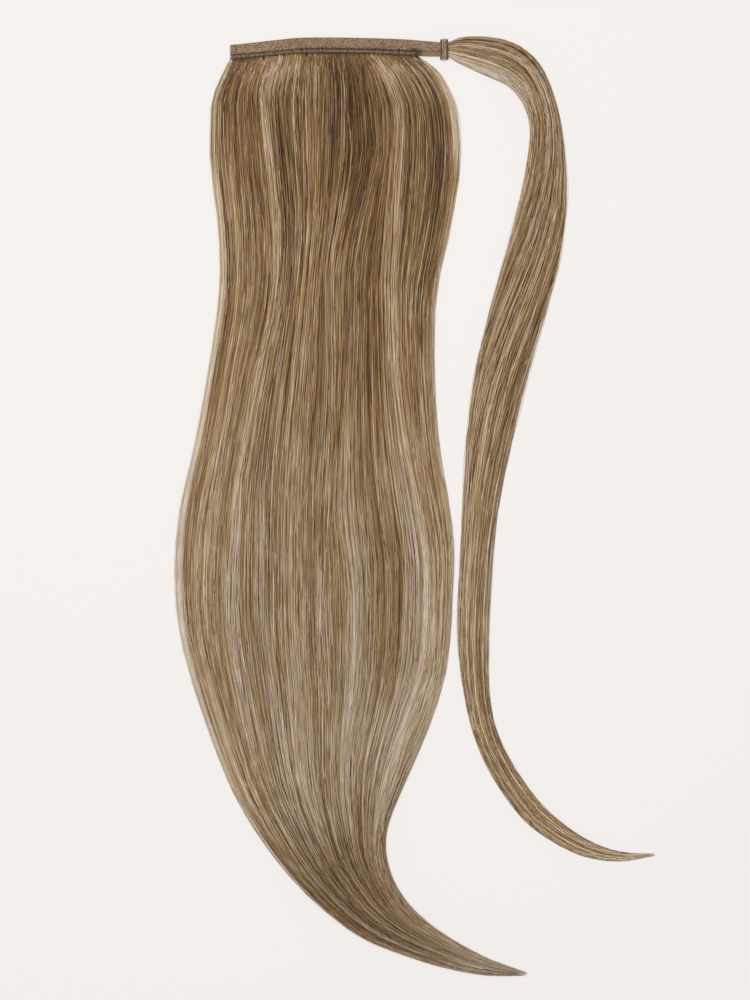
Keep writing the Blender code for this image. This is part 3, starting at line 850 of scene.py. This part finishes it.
def panel_strands(name, count, seed, low, high, width, darker=0.0, spread=1.008, roots=(0.3, 0.9)):
    rng = np.random.default_rng(seed)
    locks = make_locks(np.random.default_rng(11), LOCKS)
    home = ((np.arange(count) + rng.uniform(0, 1, count)) / count * 2 - 1)[:, None] * spread
    lock = np.clip(np.searchsorted(locks["edges"], home[:, 0]) - 1, 0, LOCKS - 1)

    def shared(key):
        return locks[key][lock][:, None]

    end = 1 - np.abs(1 - shared("end") + rng.normal(0, END_SCATTER, (count, 1)))
    s = -0.0015 + (end + 0.0015) * PANEL_STATIONS
    held = ease(s / 0.04)
    inside = 1 - np.abs(home) ** 6
    sway = shared("sway") * np.sin(2 * math.pi * shared("turns") * s + shared("phase"))
    own = sway_of(rng, count, 0.002, 0.009, s)
    own = own + sway_of(rng, count, 0.001, 0.005, s, turns=(5.0, 9.0))
    own = own * stray_of(rng, count, 3.0)
    u = wander(home, s) + (sway + own) * held * inside
    wisp = np.clip((s - end + 0.09) / 0.09, 0, 1) ** 2
    u = mix(u, wander(shared("middle"), s), 0.3 * wisp)
    root = wander(home, 0 * home)
    stitch = np.round(root * STITCHES / 2) * 2 / STITCHES
    u = u + 0.65 * (stitch - root) * (1 - ease((s + 0.001) / 0.011))

    depth = rng.uniform(low, high, (count, 1))
    heave = sway_of(rng, count, 0.01, 0.04, s, turns=(3.0, 9.0))
    lift = depth + (shared("rise") + heave) * held
    lift = mix(rng.uniform(*roots, (count, 1)), lift, ease((s + 0.001) / 0.02))

    run = run_of_colour(s)
    share_of_streak = mix(1.0, 1.7 * rng.uniform(0, 1, (count, 1)) ** 0.7, ease(s / 0.06))
    contrast = 0.19 + 0.05 * ease((0.45 - s) / 0.25) + 0.09 * ease((s - 0.62) / 0.15)
    tone = run[..., 0] + shared("tone") + clump_tone((home + 1) / 2, s)
    tone = tone + rng.normal(0, 1, (count, 1)) * contrast + streak_tone(home, s) * share_of_streak
    tone = tone - darker - 0.9 * np.clip(1 - depth, 0, 0.15)
    edge = np.abs(home)
    # Painted light: strands near the edges are paler, against the shade on the dome's steep sides.
    tone = soften(tone + 0.08 * ease((edge - 0.90) / 0.06) + 0.14 * ease((edge - 0.95) / 0.04))
    warmth = warmth_of(rng, count, run[..., 1] + shared("warmth"), tone)
    warmth = warmth - 0.4 * ease((edge - 0.88) / 0.1)
    spread_at = read_table(PANEL, PANEL_KEYS, np.clip(s, 0, 1) * PANEL_KEYS[-1])[..., 2]
    widths = widths_of(rng, count, width, s, end) * np.minimum(1, 0.3 + spread_at)
    grow(rng, name, panel_point(u, s, lift), widths, tone, warmth)


panel_strands("hair_underside", 200, 21, 0.0, 0.03, 0.00190, darker=0.02, spread=0.955)
panel_strands("hair_filling", 300, 22, 0.40, 0.90, 0.00120, darker=0.08, spread=0.96)
panel_strands("hair_lower_locks", 850, 23, 0.86, 1.0, 0.00046)
panel_strands("hair_upper_locks", 850, 24, 0.90, 1.01, 0.00040)
panel_strands("hair_top_strands", 850, 25, 0.97, 1.03, 0.00032)

# %% [markdown]
# The wrap strand is built the same way, but its locks turn round the bundle. The angle falls as they
# run down the arch, which carries the locks on top from the outer side to the inner side.

# %% Strands of the wrap strand
WRAP_LOCKS = 26
ROOT_TUFTS = 9
WRAP_TWIST = (
    # s, degrees
    (0.00, 0.0), (0.10, -4.0), (0.20, -22.0), (0.30, -48.0), (0.45, -80.0), (0.70, -96.0),
    (1.00, -104.0),
)
WRAP_COLOUR = (
    # s, tone, warmth
    (0.00, 0.64, 0.00), (0.04, 0.62, 0.05), (0.10, 0.51, 0.15), (0.25, 0.45, 0.34),
    (0.45, 0.49, 0.32), (0.60, 0.55, 0.28), (0.75, 0.53, 0.28), (0.90, 0.52, 0.25),
    (1.00, 0.74, 0.10),
)


WRAP_STATIONS = stations_by_bend(strand_point, 40)


def wrap_strands(name, count, seed, width, inner, outer, darker=0.0):
    rng = np.random.default_rng(seed)
    shared_rng = np.random.default_rng(12)
    lock_tone = shared_rng.normal(0, 0.03, WRAP_LOCKS * 2)
    lock_end = 1 - 0.10 * shared_rng.uniform(0, 1, WRAP_LOCKS * 2) ** 2
    start = np.sort(rng.uniform(0, 360, count))[:, None]
    lock = (start[:, 0] / 360 * WRAP_LOCKS * 2).astype(int) % (WRAP_LOCKS * 2)
    end = 1 - np.abs(1 - lock_end[lock][:, None] + rng.normal(0, END_SCATTER, (count, 1)))
    s = -0.005 + (end + 0.005) * WRAP_STATIONS
    at = np.clip(s, 0, 1)
    twist = read_table([row[1:] for row in WRAP_TWIST], [row[0] for row in WRAP_TWIST], at)[..., 0]
    stray = stray_of(rng, count, 2.5)
    own = sway_of(rng, count, 1.0, 6.0, s) + sway_of(rng, count, 0.5, 2.5, s, turns=(4.0, 9.0))
    angle = np.radians(start + twist + own * stray * ease(s / 0.05))
    out = rng.uniform(inner, outer, (count, 1))
    out = out + sway_of(rng, count, 0.005, 0.03, s, turns=(3.0, 9.0))
    u = 0.97 * out * np.cos(angle)
    lift = 0.5 + 0.5 * out * np.sin(angle)

    run = read_table([row[1:] for row in WRAP_COLOUR], [row[0] for row in WRAP_COLOUR], at)
    pale_inside = 0.22 * ease((u - 0.1) / 0.5) * ease((0.14 - s) / 0.06)
    dark_outside = -0.12 * ease((-0.35 - u) / 0.3) * ease((0.12 - s) / 0.06)
    # Painted shade: near the root, strands where two tufts meet are darker, as shade in the gaps between
    # tufts.
    tuft = np.abs(start / 360 * 2 * ROOT_TUFTS % 1 - 0.5)
    tuft_gap_shade = 0.34 * ease((tuft - 0.34) / 0.12) * ease((0.05 - s) / 0.04)
    tone = run[..., 0] + lock_tone[lock][:, None] + clump_tone(start / 360, s) - darker
    tone = tone + rng.normal(0, 0.23, (count, 1)) + pale_inside + dark_outside - tuft_gap_shade
    # Painted light: strands at the bundle's edges are paler, against the shade on its steep sides.
    tone = soften(tone + 0.14 * ease((np.abs(u) - 0.86) / 0.10))
    warmth = warmth_of(rng, count, run[..., 1], tone)
    widths = widths_of(rng, count, width, s, end)
    grow(rng, name, strand_point(u, s, lift), widths, tone, warmth)


wrap_strands("wrap_locks", 440, 31, 0.00054, 0.86, 1.0)
wrap_strands("wrap_top_strands", 300, 32, 0.00034, 0.96, 1.04)

# %% [markdown]
# No hair edge is a clean line. A few hundred very fine hairs leave the edges, bow out by up
# to four millimetres and come back, so each edge fades into the pale ground as on real hair.
# More of them stand off the inner side of the arch and the right shoulder than elsewhere.

# %% Fine hairs along the edges
EDGE_ROOT = 0.965
EDGE_STATIONS = 18


def edge_hairs(name, point, rows, seed, width):
    """Rows: hairs, side, where they start along the edge (from, to), their length, their bow."""
    rng = np.random.default_rng(seed)
    paths, tones = [], []
    for count, side, first, last, longest, bow in rows:
        begin = rng.uniform(first, last, (count, 1))
        length = rng.uniform(0.45, 1.0, (count, 1)) * longest
        t = np.linspace(0, 1, EDGE_STATIONS)[None, :]
        s = np.minimum(begin + length * t, 0.985)
        reach = rng.uniform(0.1, 1.0, (count, 1)) ** 1.6 * bow
        bowed = reach * np.sin(math.pi * t) ** 0.8
        u = side * (EDGE_ROOT + bowed + 0.01 * rng.uniform(-1, 1, (count, 1)))
        paths.append(point(u, s, rng.uniform(0.25, 1.2, (count, 1)) + 0 * s))
        tones.append(rng.uniform(0.60, 0.98, (count, 1)) + 0 * s)
    paths, tones = np.concatenate(paths), np.concatenate(tones)
    widths = width * rng.uniform(0.6, 1.3, (len(paths), 1)) + 0 * tones
    values = {"tone": tones, "warmth": rng.uniform(0.1, 0.7, (len(paths), 1)) + 0 * tones}
    rolls = rng.uniform(0, 2 * math.pi, len(paths))
    piece = tube_mesh(name, paths, widths, 1.0, rolls, hair, values)


edge_hairs("panel_edge_hairs", panel_point, (
    (90, -1, 0.00, 0.85, 0.16, 0.030), (80, 1, 0.10, 0.85, 0.16, 0.030),
    (90, 1, 0.00, 0.03, 0.10, 0.045),
), 61, 0.00015)
edge_hairs("wrap_edge_hairs", strand_point, (
    (50, -1, 0.02, 0.85, 0.16, 0.12), (50, 1, 0.25, 0.85, 0.16, 0.12),
    (40, 1, 0.01, 0.05, 0.08, 0.06), (70, 1, 0.06, 0.18, 0.12, 0.14),
), 62, 0.00014)

# %% [markdown]
# The band is loop tape: a woven ground with a dense pile of small loops on top. The ground keeps the
# CAD solid and gets a woven finish, and the loops are short bent tubes, set close together at random
# angles. Their colour varies a little from loop to loop.

# %% Loop tape
def tape_finish(name, colours, grain, own_shade=False):
    material, tree, shader = new_material(name, 0.85, 0.2)
    place = add_node(tree, "ShaderNodeTexCoord", {}, {}, output="Object")
    weave = add_node(
        tree, "ShaderNodeTexVoronoi", {"feature": "F1"}, {"Vector": place, "Scale": grain}
    )
    cloud = add_noise(tree, place, grain / 3, 3.0)
    value = 0.30 + cloud * 0.4 - weave * 0.3
    if own_shade:
        value = value + own_value(tree, "shade") * 0.55 - 0.2
    dark, light = (screen(*colour) for colour in colours)
    stops = ((0.0, dark), (0.6, light))
    colour = add_node(tree, "ShaderNodeValToRGB", {"stops": stops}, {0: value})
    feed(tree, shader, Base_Color=colour)
    add_bump(tree, shader, 1 - weave, 0.6, 0.0003)
    return material


ground_finish = tape_finish("tan_tape_ground", ((92, 72, 50), (150, 124, 97)), 1400.0)
pile_finish = tape_finish("tan_loop_pile", ((92, 71, 50), (182, 158, 132)), 700.0, own_shade=True)
dress_node("loop_band", ground_finish)

PILE_LOOPS = 3400
PILE_SINK = 0.0001
LOOP_MARGIN = 0.0002
LOOP_WIDTH = 0.00040
LOWER_SELVEDGE = 0.0026
UPPER_SELVEDGE = 0.0005
HEM_LENGTH = 0.0034
HEM_RISE = 0.001
BAND_LEFT = -BAND_LENGTH / 2
BINDING_LEFT = BAND_LENGTH / 2 - BINDING_LENGTH / 2


def tail_lift(x):
    start = BAND_LENGTH / 2 - TAIL_LENGTH
    return TAIL_FLOOR * ease((x - start) / (BINDING_LEFT - start))


def pile_loops():
    rng = np.random.default_rng(41)
    x = rng.uniform(BAND_LEFT + 0.0006, BINDING_LEFT - 0.0003, PILE_LOOPS)
    middle, half = band_line(x)
    low = middle - half + LOWER_SELVEDGE + LOOP_MARGIN
    high = middle + half - UPPER_SELVEDGE - LOOP_MARGIN
    y = mix(low, high, rng.uniform(0, 1, PILE_LOOPS))
    turn = rng.uniform(0, math.pi, PILE_LOOPS)
    length = rng.uniform(0.0006, 0.0010, PILE_LOOPS)
    bend = np.array([-0.5, -0.28, 0.28, 0.5])
    arch = np.array([-0.0003, 0.0004, 0.0004, -0.0003])
    hem = np.where(x < BAND_LEFT + HEM_LENGTH, HEM_RISE, 0.0)
    height = TAPE_THICKNESS + tail_lift(x) + hem - PILE_SINK
    paths = np.stack([
        x[:, None] + bend * (length * np.cos(turn))[:, None],
        y[:, None] + bend * (length * np.sin(turn))[:, None],
        height[:, None] + arch * rng.uniform(0.6, 1.1, PILE_LOOPS)[:, None],
    ], axis=-1)
    widths = np.full((PILE_LOOPS, 4), LOOP_WIDTH)
    shade = rng.uniform(0, 1, (PILE_LOOPS, 1)) ** 1.3 + np.zeros((PILE_LOOPS, 4))
    flat = np.zeros(PILE_LOOPS)
    piece = tube_mesh("band_pile", paths, widths, 1.0, flat, pile_finish, {"shade": shade})


pile_loops()

# %% [markdown]
# The weft is where the hair is sewn to the tape: a dark track of machine stitches. Short threads
# whip over it from the tape to the hair, and one thread runs along each side of it.

# %% The weft's stitches
def thread_finish(name, dark, light, spacing):
    """Twisted thread: fine slanted ribs, and a tone that drifts along it."""
    material, tree, shader = new_material(name, 0.6, 0.35)
    place = add_node(tree, "ShaderNodeTexCoord", {}, {}, output="Object")
    ribs = add_node(
        tree, "ShaderNodeTexWave", {"wave_type": "BANDS", "bands_direction": "DIAGONAL"},
        {"Vector": place, "Scale": 0.3 / spacing, "Distortion": 1.5},
    )
    drift = add_noise(tree, place, 400.0, 2.0)
    value = ribs * 0.45 + drift * 0.6
    stops = ((0.2, screen(*dark)), (0.9, screen(*light)))
    colour = add_node(tree, "ShaderNodeValToRGB", {"stops": stops}, {0: value})
    feed(tree, shader, Base_Color=colour)
    add_bump(tree, shader, ribs, 0.5, 0.0001)
    return material


weft_thread = thread_finish("dark_weft_thread", (88, 71, 51), (160, 136, 104), 0.0009)
dress_node("weft_track", weft_thread)

WEFT_STITCHES = 92
TEETH_FROM = -0.028
HEM_COVER = 0.0036
WEFT_RIGHT = BAND_LEFT + WEFT_LENGTH
RUNNING_WIDTH = 0.00028
FRAYED_ENDS = 34
FRAYED_WIDTH = 0.00024


def weft_height(x):
    """How much the hem and the lifted tail raise what lies on the tape."""
    return tail_lift(x) + np.where(x < BAND_LEFT + HEM_COVER, HEM_RISE, 0.0)


def whip_stitches():
    rng = np.random.default_rng(51)
    x = BAND_LEFT + 0.0006 + (WEFT_LENGTH - 0.0010) * (
        np.arange(WEFT_STITCHES) + rng.uniform(0.25, 0.75, WEFT_STITCHES)) / WEFT_STITCHES
    reach = np.array([2.4, 2.3, 1.7, 0.8, 0.0, -0.6, -1.0]) / 1000
    height = np.array([1.7, 2.5, 3.1, 3.3, 3.15, 3.05, 2.7]) / 1000
    slant = rng.normal(0, 0.00022, (WEFT_STITCHES, 1))
    drop = np.where(np.arange(WEFT_STITCHES) % 2 == 0, 1.0, 0.3)
    drop = drop * rng.uniform(0.7, 2.3, WEFT_STITCHES)
    tooth = mix(0.75, 1.4, ease((x - TEETH_FROM) / 0.012))
    tooth = tooth * rng.uniform(0.85, 1.2, WEFT_STITCHES)
    y = band_edge(x)[:, None] + reach * np.where(reach < 0, drop[:, None], tooth[:, None])
    z = height + weft_height(x)[:, None]
    paths = np.stack([x[:, None] + slant * np.linspace(-1, 1, 7), y, z], axis=-1)
    widths = rng.uniform(0.00030, 0.00048, (WEFT_STITCHES, 1)) + np.zeros(7)
    flat = np.zeros(WEFT_STITCHES)
    piece = tube_mesh(
        "weft_whip_stitches", paths, widths, 0.8, flat, stitch_thread, {}, sides=6
    )


def running_threads(name, rows, thread, start, end, stations):
    """Threads along the weft. Rows: how far above the band's edge, and how high."""
    rng = np.random.default_rng(52)
    x = np.linspace(start, end, stations)
    paths = []
    for offset, height in rows:
        wave = 0.00013 * np.sin(x * 4700 + offset * 9000) + rng.normal(0, 0.00004, stations)
        paths.append(np.stack([x, band_edge(x) + offset + wave, height + weft_height(x)], axis=-1))
    paths = np.stack(paths)
    widths = np.full(paths.shape[:2], RUNNING_WIDTH)
    piece = tube_mesh(name, paths, widths, 1.0, np.zeros(len(rows)), thread, {}, sides=6)


def frayed_end():
    """Short loose ends of thread where the weft stops."""
    rng = np.random.default_rng(53)
    count = FRAYED_ENDS
    t = np.linspace(0, 1, 8)[None, :]
    x = WEFT_RIGHT + rng.uniform(-0.0050, 0.0012, (count, 1))
    y = band_edge(x) + rng.uniform(-0.0004, 0.0042, (count, 1))
    turn = rng.uniform(-0.9, 0.9, (count, 1)) + rng.uniform(-1.5, 1.5, (count, 1)) * t
    length = rng.uniform(0.0008, 0.0024, (count, 1))
    z = 0.0026 + tail_lift(x) + rng.uniform(0, 0.0005, (count, 1)) + 0.0003 * np.sin(math.pi * t)
    paths = np.stack(
        [x + length * t * np.cos(turn), y + length * t * np.sin(turn), z + 0 * t], axis=-1
    )
    widths = np.full((count, 8), FRAYED_WIDTH)
    flat = np.zeros(count)
    piece = tube_mesh("weft_frayed_end", paths, widths, 1.0, flat, stitch_thread, {}, sides=4)


stitch_thread = thread_finish("dark_whip_thread", (40, 31, 22), (84, 68, 50), 0.0005)
light_thread = thread_finish("pale_running_thread", (108, 94, 78), (168, 154, 138), 0.0005)
whip_stitches()
running_threads(
    "weft_running_threads", ((0.0022, 0.0027), (0.0003, 0.0029)),
    stitch_thread, BAND_LEFT + 0.0004, WEFT_RIGHT - 0.0002, 150,
)
running_threads(
    "weft_pale_thread", ((0.0010, 0.0034),), light_thread, -0.0120, 0.0235, 60
)
running_threads(
    "hem_pale_thread", ((0.0010, 0.0033), (0.0004, 0.0032)), light_thread,
    BAND_LEFT + 0.0004, BAND_LEFT + 0.0062, 14,
)
frayed_end()

# %% [markdown]
# The strand is tied to the band's end with thread: two or three tight dark turns at each side and
# slack, paler loops between them. The solid gives the sleeve under them, and the turns are rings
# round it.

# %% The binding
binding_thread = thread_finish("dark_binding_thread", (44, 35, 26), (96, 79, 58), 0.0004)
sleeve_thread = thread_finish("brown_binding_thread", (70, 56, 40), (142, 119, 89), 0.0004)
loop_thread = thread_finish("pale_slack_thread", (128, 106, 80), (190, 168, 138), 0.0004)
dress_node("thread_binding", sleeve_thread)
binding_low, binding_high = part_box("thread_binding")
BINDING_MIDDLE = (binding_low + binding_high) / 2
BINDING_REACH = (binding_high - binding_low) / 2
THREAD_FLOOR = 0.0003
TURN_WIDTH = 0.00034
SLACK_WIDTH = 0.00062


def binding_piece(name, turns, width, material):
    """Threads round the sleeve. Turns: places along it, angles, and how far out in y and in z."""
    paths = np.stack([np.stack([
        BINDING_MIDDLE.x + x,
        BINDING_MIDDLE.y + BINDING_REACH.y * out_y * np.cos(angle),
        BINDING_MIDDLE.z + BINDING_REACH.z * out_z * np.sin(angle),
    ], axis=-1) for x, angle, out_y, out_z in turns])
    paths[..., 2] = np.maximum(paths[..., 2], THREAD_FLOOR)
    widths = np.full(paths.shape[:2], width)
    piece = tube_mesh(name, paths, widths, 1.0, np.zeros(len(turns)), material, {}, sides=6)


def binding_rings():
    """Turns of dark thread: x of each turn, and how far out it sits."""
    rings = ((-0.0021, 1.00), (-0.0018, 1.03), (0.0014, 1.01), (0.0018, 1.03), (0.0021, 1.00))
    angle = np.linspace(0, 2 * math.pi, 36)
    binding_piece("binding_turns", [
        (x + 0.00018 * np.sin(angle + number), angle, out, out)
        for number, (x, out) in enumerate(rings)
    ], TURN_WIDTH, binding_thread)


def slack_loops():
    """Pale thread that zigzags between the dark turns over the top of the sleeve."""
    angle = np.linspace(-0.35, math.pi + 0.35, 60)
    binding_piece("binding_slack_loops", [
        (reach * np.sin(angle * 3.4 + phase) - 0.0002, angle, 1.03, 1.05)
        for phase, reach in ((0.3, 0.0010), (2.4, 0.0009))
    ], SLACK_WIDTH, loop_thread)


binding_rings()
slack_loops()
